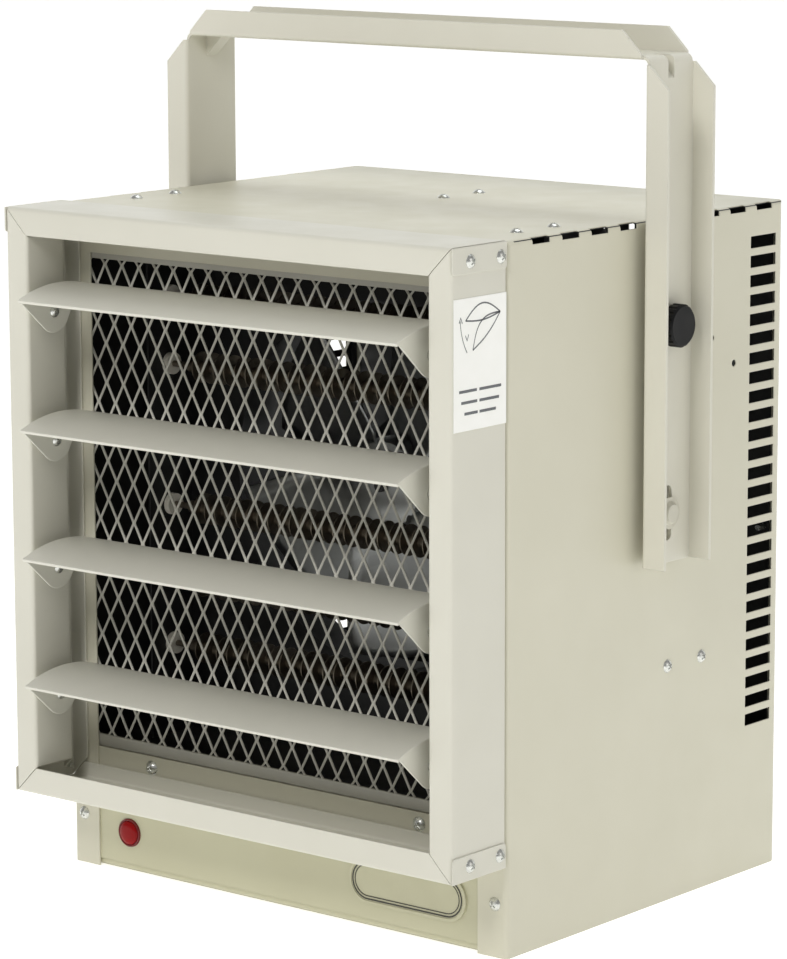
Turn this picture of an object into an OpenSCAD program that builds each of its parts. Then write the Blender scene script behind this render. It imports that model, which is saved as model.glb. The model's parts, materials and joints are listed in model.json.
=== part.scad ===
// Fan-forced electric unit heater in a swivelling yoke bracket, with adjustable outlet louvres.
// Millimetres. +X is the unit's own right, +Y runs from the outlet to the rear, +Z is up.
// The origin is the centre of the cabinet's footprint, on its underside.

/* [Cabinet] */
// Width across the cabinet side panels
cabinet_w = 356; // [346:1:366]
// Depth of the cabinet behind the outlet frame
cabinet_d = 286; // [280:1:296]
// Height from the underside to the top panel
cabinet_h = 431.5; // [426:0.5:440]
// Sheet thickness of the cabinet, frame and shelf
sheet = 1.2; // [1:0.1:1.5]

/* [Outlet frame] */
// Depth of the outlet frame in front of the cabinet
frame_d = 52; // [48:1:58]
// Width of the frame's front flange
frame_flange = 17.2; // [15:0.2:19]
// Height of the frame's lower edge above the underside
frame_z = 57; // [55:0.5:59]

/* [Louvres] */
// Louvre length over both ears
louver_len = 304; // [296:1:308]
// Chord of a louvre blade, front edge to rear edge
louver_chord = 57; // [50:0.5:58]
// Radius of the arched blade
louver_arch = 94; // [85:1:120]
// Front-down angle of the blades at rest, in degrees
louver_tilt = 6; // [4:0.5:9]
// Height of the lowest louvre pivot above the underside
louver_z = 122.5; // [121:0.5:124]
// Distance between louvre pivots
louver_pitch = 81.6; // [80:0.2:82.4]

/* [Yoke bracket] */
// Gap between the cabinet side and the bracket web
bracket_gap = 6.8; // [6:0.1:9]
// Height of the bracket web's underside above the cabinet top
bracket_rise = 97.6; // [80:0.2:120]
// Width of the bracket web
bracket_w = 49; // [46:1:54]
// Width of the outward flanges, over the web
bracket_flange = 17.3; // [15:0.1:20]
// Thickness of the bracket steel
bracket_t = 2; // [1.5:0.1:2.2]

/* [Side vents] */
// Vent slots in one side
vent_count = 26; // [10:1:26]
// Distance between vent slots
vent_pitch = 12.3; // [11.6:0.1:12.3]
// Length of a vent slot
vent_len = 28; // [20:1:30]

/* [Fan] */
// Diameter of the fan
fan_dia = 226; // [200:1:230]
// Number of fan blades
fan_blades = 5; // [3:1:6]

/* [Hidden] */
half_w = cabinet_w / 2;
half_d = cabinet_d / 2;
front_y = -half_d - 0.5 - frame_d;
frame_back_y = -half_d - 0.5;
frame_top = cabinet_h + 1;
frame_h = frame_top - frame_z;
cover_t = 1;
pivot_y = 6;
pivot_z = 251;
knob_r = 116.5;
knob_z = pivot_z + knob_r;
web_x = half_w + bracket_gap;
web_out = web_x + bracket_t;
yoke_top = cabinet_h + bracket_rise;
yoke_foot = 220;
bend_r = 3;
fan_z = 254;
screw_pair = 36.4;
mount_y = 37.9;
element_y = -84.2;
element_x = 153;
element_bend = 22;
element_pitch = 92;
shelf_z = 79.5;
duct_y = -46;
throat_r = fan_dia / 2 + 5;
mesh_y = -half_d + sheet + 1.4;
mesh_x = 168;
mesh_border = 8;
mesh_pitch_x = 14.6;
mesh_pitch_z = 25.2;
strand = 2.2;
louver_t = 1;
fit = 0.06;
pivot_bolt_r = 4;
stud_r = 3;
louver_pin_r = 2.44;
spindle_r = 3;
hanger_x = 143;
guard_foot = [128, 60];
louver_reach = 31.9;
louver_overhang = 17.5;
louver_pivot_y = front_y + louver_reach - louver_overhang;
louver_drop = 10;
louver_a = louver_tilt;
louver_front = [-louver_reach, louver_drop];
louver_rear = louver_front + louver_chord * [cos(louver_a), sin(louver_a)];
louver_rise = sqrt(louver_arch * louver_arch - louver_chord * louver_chord / 4);
louver_centre = (louver_front + louver_rear) / 2 + louver_rise * [sin(louver_a), -cos(louver_a)];
rear_in = half_d - sheet;
lamp_x = -130;
low_z = 26;
inlet_x = -118;
dial_x = 118;
detents = [0, 15, 30, 45];

// ---------- shared shapes ----------

// Rectangle in plan with rounded front corners (radius rf) and rear corners (radius rb).
module plan(hw, hd, rf, rb) {
    translate([-hw, -hd + rf]) square([2 * hw, 2 * hd - rf - rb]);
    translate([-hw + rf, -hd]) square([2 * (hw - rf), rf]);
    translate([-hw + rb, hd - rb]) square([2 * (hw - rb), rb]);
    for (s = [-1, 1]) {
        translate([s * (hw - rf), -hd + rf]) circle(r = rf, $fn = 48);
        translate([s * (hw - rb), hd - rb]) circle(r = rb, $fn = 48);
    }
}

// Upright profile with rounded top corners.
module arch(hw, z0, z1, r) {
    translate([-hw, z0]) square([2 * hw, z1 - z0 - r]);
    translate([-hw + r, z1 - r]) square([2 * (hw - r), r]);
    for (s = [-1, 1]) translate([s * (hw - r), z1 - r]) circle(r = r, $fn = 48);
}

// Extrude a drawing made in X and Z along Y, from y0 to y1.
module along_y(y0, y1) {
    translate([0, y1, 0]) rotate([90, 0, 0]) linear_extrude(y1 - y0) children();
}

// Extrude a drawing made in Y and Z along X, from x0 to x1.
module along_x(x0, x1) {
    translate([x0, 0, 0]) rotate([90, 0, 90]) linear_extrude(x1 - x0) children();
}

// Pan-head screw with a cross recess: the head stands on z = 0 and the shank runs down.
module pan_screw(head_r = 4.3, shank_r = 1.9, len = 7) {
    head_h = head_r * 0.56;
    ball_r = (head_r * head_r + head_h * head_h) / (2 * head_h);
    difference() {
        intersection() {
            cylinder(r = head_r, h = head_h + 0.5, $fn = 48);
            translate([0, 0, head_h - ball_r]) sphere(r = ball_r, $fn = 64);
        }
        for (a = [45, 135])
            rotate([0, 0, a]) translate([-head_r / 2, -0.45, head_h - 1]) cube([head_r, 0.9, 2]);
    }
    translate([0, 0, -len]) cylinder(r = shank_r, h = len, $fn = 32);
}

// Turn a screw so that its head faces the given side.
module face_left() { rotate([0, -90, 0]) children(); }
module face_right() { rotate([0, 90, 0]) children(); }
module face_front() { rotate([90, 0, 0]) children(); }
module face_rear() { rotate([-90, 0, 0]) children(); }

// The same thing on the right side and, mirrored, on the left.
module both_sides() {
    children();
    mirror([1, 0, 0]) children();
}

// ---------- cabinet ----------

module wrapper_solid(inset) {
    z0 = inset > 0 ? -1 : 0;
    intersection() {
        translate([0, 0, z0]) linear_extrude(cabinet_h - z0)
            plan(half_w - inset, half_d - inset, bend_r - inset * 0.9, 6 - inset);
        along_y(-half_d - 1, half_d + 1) arch(half_w - inset, z0, cabinet_h - inset, bend_r - inset * 0.9);
    }
}

module vent_slots() {
    vent_top = 407.6;
    for (k = [0 : vent_count - 1])
        translate([-half_w - 5, half_d - 9.5 - vent_len, vent_top - k * vent_pitch - 3.8])
            cube([cabinet_w + 10, vent_len, 7.6]);
}

module fold_slots() {
    slot_l = 17;
    slot_pitch = 28.9;
    slot_in = 3.4;
    slot_down = 4;
    for (k = [0 : 8], s = [-1, 1])
        translate([s * half_w - slot_in, -half_d + 23.5 + k * slot_pitch, cabinet_h - slot_down])
            cube([2 * slot_in, slot_l, 2 * slot_down]);
}

module cabinet_wrapper() {
    color("#d3d0c0")
    difference() {
        wrapper_solid(0);
        wrapper_solid(sheet);
        // outlet side, between the side flanges and under the top flange
        translate([-half_w + 22, -half_d - 5, -1]) cube([cabinet_w - 44, 12, cabinet_h - 30]);
        // rear side
        translate([-half_w + 16, half_d - 8, -1]) cube([cabinet_w - 32, 12, cabinet_h - 15]);
        vent_slots();
        fold_slots();
        // screw holes in the top
        for (x = [-element_x, element_x], d = [-1, 1])
            translate([x, element_y + d * screw_pair / 2, cabinet_h - 5]) cylinder(r = 2, h = 10, $fn = 24);
        for (d = [-1, 1])
            translate([0, mount_y + d * screw_pair / 2, cabinet_h - 5]) cylinder(r = 2, h = 10, $fn = 24);
        // screw holes, pivot holes and detent holes in the sides
        for (d = [-1, 1])
            translate([-half_w - 5, mount_y + d * screw_pair / 2, 151])
                rotate([0, 90, 0]) cylinder(r = 2, h = cabinet_w + 10, $fn = 24);
        translate([-half_w - 5, pivot_y, pivot_z])
            rotate([0, 90, 0]) cylinder(r = 4.2, h = cabinet_w + 10, $fn = 32);
        for (a = detents)
            translate([-half_w - 5, pivot_y + knob_r * sin(a), pivot_z + knob_r * cos(a)])
                rotate([0, 90, 0]) cylinder(r = 2.2, h = cabinet_w + 10, $fn = 24);
        // control panel screws in the front flanges
        for (s = [-1, 1])
            translate([s * 169, -half_d - 5, 33]) rotate([-90, 0, 0]) cylinder(r = 2, h = 10, $fn = 24);
        // rear panel screws in the rear flanges
        for (s = [-1, 1], z = [20, 220, 415])
            translate([s * 166.5, half_d - 5, z]) rotate([-90, 0, 0]) cylinder(r = 2, h = 10, $fn = 24);
    }
}

module rear_panel() {
    color("#cbc8b8")
    difference() {
        translate([-171, rear_in - sheet, 2]) cube([342, sheet, 427]);
        translate([0, rear_in - 5, fan_z]) rotate([-90, 0, 0]) cylinder(r = 122, h = 10, $fn = 96);
        translate([inlet_x, rear_in - 5, low_z + 6]) rotate([-90, 0, 0]) cylinder(r = 14.1, h = 10, $fn = 48);
        translate([dial_x, rear_in - 5, low_z + 6]) rotate([-90, 0, 0]) cylinder(r = 5, h = 10, $fn = 32);
        for (s = [-1, 1], z = [20, 220, 415])
            translate([s * 166.5, rear_in - 5, z]) rotate([-90, 0, 0]) cylinder(r = 2, h = 10, $fn = 24);
        for (s = [-1, 1], d = [-1, 1])
            translate([s * guard_foot[0], rear_in - 5, fan_z + d * guard_foot[1]])
                rotate([-90, 0, 0]) cylinder(r = 2, h = 10, $fn = 24);
        // intake slots over the control space
        for (k = [-6 : 6])
            translate([k * 12 - 2.5, rear_in - 5, 92]) cube([5, 10, 26]);
        for (k = [-6 : 6])
            translate([k * 12 - 2.5, rear_in - 5, 388]) cube([5, 10, 24]);
    }
}

module bottom_panel() {
    wall = half_w - sheet - 0.2;
    color("#cbc8b8")
    difference() {
        union() {
            translate([-wall, -half_d + 5, 0]) cube([2 * wall, cabinet_d - 9, sheet]);
            for (s = [-1, 1])
                translate([s * (wall - sheet / 2) - sheet / 2, -half_d + 5, 0])
                    cube([sheet, cabinet_d - 14, 14]);
        }
        for (k = [-5 : 5])
            translate([k * 14 - 3, -100, -1]) cube([6, 60, 4]);
    }
}

module divider_shelf() {
    wall = half_w - sheet - 0.3;
    rail_y = -half_d + sheet;
    color("#cfccbd")
    difference() {
        union() {
            translate([-170, rail_y, 57.4]) cube([340, sheet, shelf_z - 57.4]);
            translate([-wall, rail_y + sheet, shelf_z - sheet]) cube([2 * wall, cabinet_d - 20, sheet]);
            translate([-170, rail_y, shelf_z - sheet]) cube([340, 4, sheet]);
        }
        for (x = [-110, 110])
            translate([x, rail_y - 2, 72]) rotate([-90, 0, 0]) cylinder(r = 2.2, h = 6, $fn = 24);
        translate([60, 40, shelf_z - 5]) cylinder(r = 8, h = 10, $fn = 32);
    }
}

module control_panel() {
    panel_y = -half_d + sheet;
    color("#b9b79c")
    difference() {
        union() {
            translate([-174, panel_y, 5]) cube([348, sheet, 51.6]);
            translate([-154, panel_y, 5]) cube([308, 10, sheet]);
        }
        translate([lamp_x, panel_y - 2, low_z]) rotate([-90, 0, 0]) cylinder(r = 8.2, h = 6, $fn = 48);
        for (s = [-1, 1])
            translate([s * 169, panel_y - 2, 33]) rotate([-90, 0, 0]) cylinder(r = 2, h = 6, $fn = 24);
    }
}

// ---------- outlet frame ----------

// One rail of the frame: mitred front flange, outer wall, rear lip and two end tabs that lap the stiles.
module frame_rail() {
    tab_h = 16;
    color("#dcdacb")
    difference() {
        union() {
            along_y(front_y, front_y + sheet)
                polygon([[-half_w, frame_top], [half_w, frame_top],
                         [half_w - frame_flange, frame_top - frame_flange],
                         [-half_w + frame_flange, frame_top - frame_flange]]);
            translate([-half_w, front_y, frame_top - sheet]) cube([cabinet_w, frame_d, sheet]);
            translate([-half_w + 3, frame_back_y - sheet, frame_top - 11]) cube([cabinet_w - 6, sheet, 11]);
            for (s = [-1, 1]) {
                translate([s * (half_w + cover_t / 2) - cover_t / 2, front_y, frame_top - tab_h])
                    cube([cover_t, frame_d, tab_h]);
                translate([s * 165, frame_back_y - 0.2, frame_top - 5.8])
                    rotate([-90, 0, 0]) cylinder(r = 4, h = 0.7, $fn = 32);
            }
        }
        for (y = [16.5, 45])
            translate([-half_w - 5, front_y + y, frame_top - 9])
                rotate([0, 90, 0]) cylinder(r = 2, h = cabinet_w + 10, $fn = 24);
    }
}

module frame_top_rail() { frame_rail(); }

module frame_bottom_rail() {
    translate([0, 0, frame_top + frame_z]) mirror([0, 0, 1]) frame_rail();
}

// One stile: mitred front flange, outer wall and the inner return that carries the louvre pivots.
module frame_stile() {
    gap = 0.35;
    in_x = half_w - frame_flange;
    color("#dcdacb")
    difference() {
        union() {
            along_y(front_y, front_y + sheet)
                polygon([[half_w, frame_z + gap], [half_w, frame_top - gap],
                         [in_x, frame_top - gap - frame_flange], [in_x, frame_z + gap + frame_flange]]);
            translate([half_w - sheet, front_y, frame_z + sheet + 0.1])
                cube([sheet, frame_d, frame_h - 2 * sheet - 0.2]);
            translate([in_x, front_y, frame_z + frame_flange + gap])
                cube([sheet, 34, frame_h - 2 * (frame_flange + gap)]);
            translate([in_x, front_y + 34 - sheet, frame_z + frame_flange + gap])
                cube([7, sheet, frame_h - 2 * (frame_flange + gap)]);
            translate([half_w - 14, frame_back_y - sheet, frame_z + 11.4])
                cube([14 - sheet / 2, sheet, frame_h - 22.8]);
        }
        // slivers of the flange that would stand in the rails' outer walls
        translate([0, front_y + sheet, frame_z - 1]) cube([half_w + 1, frame_d, 1 + sheet]);
        translate([0, front_y + sheet, frame_top - sheet]) cube([half_w + 1, frame_d, 1 + sheet]);
        for (y = [16.5, 45], z = [frame_z + 9, frame_top - 9])
            translate([half_w - 5, front_y + y, z]) rotate([0, 90, 0]) cylinder(r = 2, h = 10, $fn = 24);
        for (k = [0 : 3])
            translate([in_x - 2, louver_pivot_y, louver_z + k * louver_pitch])
                rotate([0, 90, 0]) cylinder(r = 2.05, h = 6, $fn = 24);
    }
}

module frame_right_stile() { frame_stile(); }
module frame_left_stile() { mirror([1, 0, 0]) frame_stile(); }

// Expanded metal: a thin plate with a staggered field of diamond openings inside a plain border.
module outlet_mesh() {
    z0 = shelf_z + 0.3;
    z1 = cabinet_h - 27;
    cols = floor((2 * (mesh_x - mesh_border) - 4) / mesh_pitch_x);
    rows = floor((z1 - z0 - 2 * mesh_border - 4) / (mesh_pitch_z / 2));
    x_first = -(cols - 1) / 2 * mesh_pitch_x;
    z_first = (z0 + z1) / 2 - (rows - 1) / 4 * mesh_pitch_z;
    dx = (mesh_pitch_x - strand) / 2;
    dz = dx * mesh_pitch_z / mesh_pitch_x;
    color("#a9a89c")
    along_y(mesh_y, mesh_y + 1.2)
        difference() {
            translate([-mesh_x, z0]) square([2 * mesh_x, z1 - z0]);
            for (j = [0 : rows - 1], i = [0 : cols - 1 - j % 2])
                translate([x_first + (i + (j % 2) / 2) * mesh_pitch_x, z_first + j * mesh_pitch_z / 2])
                    polygon([[dx, 0], [0, dz], [-dx, 0], [0, -dz]]);
        }
}

// ---------- louvres ----------

// End plate of a louvre, with the pivot at the origin and the front edge towards -X of the drawing.
module louver_outline() {
    hub_r = 13.5;
    intersection() {
        union() {
            polygon([louver_front, [-hub_r * 0.94, -hub_r * 0.34], [0, -2], [hub_r * 0.9, -hub_r * 0.44],
                     louver_rear, louver_rear + [-10, 12], louver_front + [14, 14]]);
            circle(r = hub_r, $fn = 64);
        }
        translate(louver_centre) circle(r = louver_arch, $fn = 180);
    }
}

// The arched blade in the same view.
module louver_skin() {
    intersection() {
        translate(louver_centre)
            difference() {
                circle(r = louver_arch, $fn = 180);
                circle(r = louver_arch - louver_t, $fn = 180);
            }
        polygon([louver_front + [0, -3], louver_rear + [0, -3],
                 louver_rear + [0, 20], louver_front + [0, 20]]);
    }
}

module louver(k) {
    half = louver_len / 2;
    color("#d9d7c9")
    translate([0, louver_pivot_y, louver_z + k * louver_pitch])
    difference() {
        union() {
            along_x(-half, half) louver_skin();
            along_x(-half, -half + louver_t) louver_outline();
            along_x(half - louver_t, half) louver_outline();
        }
        translate([-half - 5, 0, 0])
            rotate([0, 90, 0]) cylinder(r = louver_pin_r + fit, h = louver_len + 10, $fn = 32);
    }
}

module louver_1() { louver(3); }
module louver_2() { louver(2); }
module louver_3() { louver(1); }
module louver_4() { louver(0); }

// Shoulder screws through the louvre ears, with spacers that stand on the stiles.
module louver_pivots() {
    ear_in = louver_len / 2 - louver_t - 0.3;
    ear_out = louver_len / 2 + 0.3;
    wall = half_w - frame_flange;
    color("#b8b9b6")
    both_sides()
        for (k = [0 : 3])
            translate([0, louver_pivot_y, louver_z + k * louver_pitch]) {
                translate([ear_in, 0, 0]) face_left()
                    pan_screw(head_r = 4, shank_r = louver_pin_r, len = 0.5);
                translate([ear_in, 0, 0])
                    rotate([0, 90, 0]) cylinder(r = louver_pin_r, h = wall - ear_in, $fn = 32);
                translate([ear_out, 0, 0]) rotate([0, 90, 0]) cylinder(r = 4.5, h = wall - ear_out, $fn = 32);
                translate([wall, 0, 0]) rotate([0, 90, 0]) cylinder(r = 2, h = 7, $fn = 24);
            }
}

module louver_label() {
    color("#ebebe6")
    translate([half_w, front_y + 1.8, 325.5]) cube([0.3, 49, 77]);
}

// ---------- yoke bracket ----------

// Channel section of a leg: the web next to the cabinet, the two flanges pointing outward.
module channel_section() {
    r = 2.6;
    hw = bracket_w / 2;
    difference() {
        union() {
            translate([0, -hw + r]) square([bracket_flange, bracket_w - 2 * r]);
            translate([r, -hw]) square([bracket_flange - r, bracket_w]);
            for (s = [-1, 1]) translate([r, s * (hw - r)]) circle(r = r, $fn = 32);
        }
        translate([bracket_t, -hw + bracket_t]) square([bracket_flange, bracket_w - 2 * bracket_t]);
    }
}

module mounting_bracket() {
    leg_l = yoke_top - yoke_foot;
    elbow = 3;
    dart = 15;
    slot_r = pivot_bolt_r + fit;
    color("#d6d3c5")
    translate([0, pivot_y, 0])
    difference() {
        union() {
            // legs and top bar, their flanges cut along one 45 degree line at each bend
            difference() {
                union() {
                    both_sides()
                        translate([web_x, 0, yoke_foot]) linear_extrude(leg_l - elbow) channel_section();
                    translate([-web_x + elbow, 0, yoke_top])
                        rotate([0, -90, 0]) mirror([0, 0, 1])
                            linear_extrude(2 * (web_x - elbow)) channel_section();
                }
                both_sides()
                    translate([web_x, 0, yoke_top]) rotate([0, 45, 0])
                        translate([-60, -60, 0]) cube([120, 120, 60]);
            }
            // bends of the web
            both_sides()
                translate([web_x - elbow, 0, yoke_top - elbow])
                    along_y(-bracket_w / 2 + 2.6, bracket_w / 2 - 2.6)
                        intersection() {
                            difference() {
                                circle(r = elbow + bracket_t, $fn = 48);
                                circle(r = elbow, $fn = 48);
                            }
                            square([20, 20]);
                        }
            // stiffening darts pressed into the bends
            both_sides()
                along_y(-5, 5)
                    polygon([[web_x + 0.5, yoke_top - dart], [web_x + 0.5, yoke_top + 0.5],
                             [web_x - dart, yoke_top + 0.5]]);
        }
        // the hollow side of each dart
        both_sides()
            along_y(-3.2, 3.2)
                polygon([[web_x + 6, yoke_top - dart - 1], [web_x + 6, yoke_top + 6],
                         [web_x - dart - 1, yoke_top + 6]]);
        // pivot slots, knob holes and ceiling-fixing holes
        both_sides() {
            for (d = [-13, 13])
                translate([web_x - 5, 0, pivot_z + d])
                    rotate([0, 90, 0]) cylinder(r = slot_r, h = 12, $fn = 32);
            translate([web_x - 5, -slot_r, pivot_z - 13]) cube([12, 2 * slot_r, 26]);
            translate([web_x - 5, 0, knob_z])
                rotate([0, 90, 0]) cylinder(r = stud_r + fit, h = 12, $fn = 32);
            translate([101.6, 0, yoke_top - 5]) cylinder(r = 4.5, h = 12, $fn = 32);
        }
        translate([0, 0, yoke_top - 5]) cylinder(r = 6.5, h = 12, $fn = 32);
    }
}

// Bolts that carry the yoke: spacer, washer, low head and a nut inside the cabinet.
module pivot_bolts() {
    nut_x = half_w - sheet - 5;
    color("#c9c9c0")
    both_sides()
        translate([0, pivot_y, pivot_z]) rotate([0, 90, 0]) {
            translate([0, 0, nut_x - 3]) cylinder(r = pivot_bolt_r, h = web_out + 2 - nut_x + 3, $fn = 32);
            translate([0, 0, half_w]) cylinder(r = 9, h = bracket_gap - 0.3, $fn = 48);
            translate([0, 0, web_out + 0.3]) cylinder(r = 10, h = 1.6, $fn = 48);
            translate([0, 0, web_out + 1.9]) cylinder(r1 = 7.4, r2 = 5.6, h = 2.6, $fn = 48);
            translate([0, 0, nut_x]) cylinder(r = 7.5, h = 5, $fn = 6);
        }
}

// Fluted hand knob with a stud that ends just short of the cabinet side.
module clamp_knob() {
    flutes = 18;
    disc_r = 13.3;
    disc_x = web_out + 3.5;
    color("#1d1d1d")
    translate([0, pivot_y, knob_z]) rotate([0, 90, 0]) {
        difference() {
            union() {
                translate([0, 0, disc_x]) cylinder(r = disc_r, h = 6, $fn = 72);
                translate([0, 0, disc_x + 6]) cylinder(r1 = disc_r, r2 = disc_r - 1.5, h = 1.5, $fn = 72);
            }
            for (k = [0 : flutes - 1])
                rotate([0, 0, (k + 0.5) * 360 / flutes]) translate([disc_r + 1, 0, disc_x - 0.5])
                    cylinder(r = 1.6, h = 10, $fn = 16);
        }
        translate([0, 0, web_out + 0.3]) cylinder(r = 7, h = 3.2, $fn = 48);
        translate([0, 0, half_w + 0.4]) cylinder(r = stud_r, h = web_out - half_w, $fn = 32);
    }
}

module clamp_knob_right() { clamp_knob(); }
module clamp_knob_left() { mirror([1, 0, 0]) clamp_knob(); }

// Threaded inserts behind the detent holes.
module clamp_inserts() {
    color("#b0b0aa")
    both_sides()
        for (a = detents)
            translate([half_w - sheet - 4, pivot_y + knob_r * sin(a), pivot_z + knob_r * cos(a)])
                rotate([0, 90, 0])
                    difference() {
                        cylinder(r = 6, h = 4, $fn = 6);
                        translate([0, 0, -1]) cylinder(r = 2.2, h = 6, $fn = 24);
                    }
}

// ---------- fasteners ----------

module frame_screws() {
    color("#c3c4c0")
    both_sides()
        for (y = [16.5, 45], z = [frame_z + 9, frame_top - 9])
            translate([half_w + cover_t, front_y + y, z]) face_right() pan_screw();
}

module cabinet_screws() {
    color("#c3c4c0") {
        for (x = [-element_x, element_x], d = [-1, 1])
            translate([x, element_y + d * screw_pair / 2, cabinet_h]) pan_screw();
        for (d = [-1, 1])
            translate([0, mount_y + d * screw_pair / 2, cabinet_h]) pan_screw();
        both_sides()
            for (d = [-1, 1])
                translate([half_w, mount_y + d * screw_pair / 2, 151]) face_right() pan_screw();
    }
}

module panel_screws() {
    color("#c3c4c0") {
        for (s = [-1, 1])
            translate([s * 169, -half_d, 33]) face_front() pan_screw();
        for (x = [-110, 110])
            translate([x, -half_d + sheet, 72]) face_front() pan_screw(head_r = 4.9, shank_r = 2.1, len = 9);
    }
}

module rear_screws() {
    color("#c3c4c0")
    for (s = [-1, 1]) {
        for (z = [20, 220, 415])
            translate([s * 166.5, half_d, z]) face_rear() pan_screw(len = 9);
        for (d = [-1, 1])
            translate([s * guard_foot[0], rear_in + 1.2, fan_z + d * guard_foot[1]]) face_rear() pan_screw();
    }
}

// ---------- air path ----------

// Orifice plate behind the elements, flanged to the top and the sides of the cabinet.
module fan_shroud() {
    wall = half_w - sheet - 0.05;
    top = cabinet_h - sheet - 0.05;
    flange = 12;
    color("#a7a79f")
    difference() {
        union() {
            along_y(duct_y, duct_y + 1) arch(wall, shelf_z + 0.3, top, 3);
            translate([-wall + 8, duct_y, top - 1]) cube([2 * wall - 16, flange, 1]);
            for (s = [-1, 1])
                translate([s * (wall - 0.5) - 0.5, duct_y, shelf_z + 8])
                    cube([1, flange, top - shelf_z - 20]);
        }
        translate([0, duct_y - 5, fan_z]) rotate([-90, 0, 0]) cylinder(r = throat_r, h = 60, $fn = 96);
    }
}

// Rolled ring that stands on the orifice plate round the blade tips.
module shroud_collar() {
    color("#a7a79f")
    translate([0, duct_y + 1, fan_z]) rotate([-90, 0, 0])
        difference() {
            cylinder(r = throat_r + 1, h = 29, $fn = 96);
            translate([0, 0, -1]) cylinder(r = throat_r, h = 31, $fn = 96);
        }
}

// Axial fan: a hub and flat pitched blades that widen from the root to the tip.
module fan_rotor() {
    tip = fan_dia / 2;
    hub_r = 30;
    blade_t = 1.6;
    lead_edge = [[hub_r - 1, 12], [46, 24], [80, 40], [tip + 2, 49]];
    trail_edge = [for (p = lead_edge) [p[0], -p[1] * 0.94]];
    color("#8f9190")
    translate([0, duct_y + 15, fan_z])
        difference() {
            union() {
                rotate([-90, 0, 0]) translate([0, 0, -12]) cylinder(r = hub_r, h = 25, $fn = 64);
                for (k = [0 : fan_blades - 1])
                    rotate([0, k * 360 / fan_blades + 52, 0])
                        intersection() {
                            rotate([112, 0, 0]) translate([0, 0, -blade_t / 2]) linear_extrude(blade_t)
                                polygon(concat(lead_edge, [for (i = [3 : -1 : 0]) trail_edge[i]]));
                            rotate([-90, 0, 0]) translate([0, 0, -22]) cylinder(r = tip, h = 44, $fn = 96);
                        }
            }
            rotate([-90, 0, 0]) translate([0, 0, -30]) cylinder(r = pivot_bolt_r + 0.05, h = 60, $fn = 32);
        }
}

module fan_motor() {
    color("#3a3c3e")
    translate([0, duct_y, fan_z]) rotate([-90, 0, 0]) {
        translate([0, 0, 36]) cylinder(r = 42, h = 62, $fn = 72);
        translate([0, 0, 30]) cylinder(r = 16, h = 6, $fn = 48);
        translate([0, 0, 98]) cylinder(r = 16, h = 5, $fn = 48);
        cylinder(r = 4, h = 30, $fn = 32);
    }
}

// Three straps at 120 degrees from a band around the motor to feet on the top and the sides.
module motor_mount() {
    wall = half_w - sheet;
    top = cabinet_h - sheet;
    band_r = 42.1;
    strap_y = mount_y - 25;
    color("#b4b4ab")
    difference() {
        union() {
            translate([0, strap_y, fan_z]) rotate([-90, 0, 0])
                difference() {
                    cylinder(r = band_r + 2, h = 34, $fn = 72);
                    translate([0, 0, -1]) cylinder(r = band_r, h = 40, $fn = 72);
                }
            translate([-10, strap_y, fan_z + band_r + 1]) cube([2, 50, top - fan_z - band_r - 1]);
            translate([-10, strap_y, top - 2]) cube([28, 50, 2]);
            for (s = [-1, 1])
                translate([0, strap_y, fan_z]) rotate([0, s > 0 ? 30 : 150, 0]) translate([band_r + 1, 0, -1])
                    cube([(wall - 1) / cos(30) - band_r - 1, 50, 2]);
            for (s = [-1, 1])
                translate([s * (wall - 1) - 1, strap_y, 138]) cube([2, 50, 28]);
        }
        for (d = [-1, 1]) {
            translate([0, mount_y + d * screw_pair / 2, top - 6]) cylinder(r = 2, h = 12, $fn = 24);
            translate([-half_w, mount_y + d * screw_pair / 2, 151])
                rotate([0, 90, 0]) cylinder(r = 2, h = cabinet_w, $fn = 24);
        }
        // keep the straps clear of the cabinet sides
        for (s = [-1, 1])
            translate([s * (wall + 20) - 20, strap_y - 5, 100]) cube([40, 60, 100]);
    }
}

// Guard over the intake: nine rings on four bars, two of which end in the screwed eyes.
module rear_guard() {
    wire = 2.4;
    foot_r = sqrt(guard_foot[0] * guard_foot[0] + guard_foot[1] * guard_foot[1]);
    foot_a = atan2(guard_foot[1], guard_foot[0]);
    reach = 126 + wire / 2;
    color("#8c8d88")
    translate([0, rear_in, fan_z]) rotate([-90, 0, 0])
        difference() {
            union() {
                for (k = [1 : 9])
                    difference() {
                        cylinder(r = k * 14 + wire / 2, h = wire, $fn = 96);
                        translate([0, 0, -1]) cylinder(r = k * 14 - wire / 2, h = wire + 2, $fn = 96);
                    }
                for (a = [0, 90])
                    rotate([0, 0, a]) translate([-reach, -wire / 2, 0]) cube([2 * reach, wire, wire]);
                for (a = [-foot_a, foot_a])
                    rotate([0, 0, a]) {
                        translate([-foot_r + 4, -wire / 2, 0]) cube([2 * foot_r - 8, wire, wire]);
                        for (s = [-1, 1]) translate([s * foot_r, 0, 0]) cylinder(r = 6, h = 1.2, $fn = 32);
                    }
            }
            for (a = [-foot_a, foot_a], s = [-1, 1])
                rotate([0, 0, a]) translate([s * foot_r, 0, -1]) cylinder(r = 2, h = 4, $fn = 24);
        }
}

// ---------- heating ----------

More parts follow.
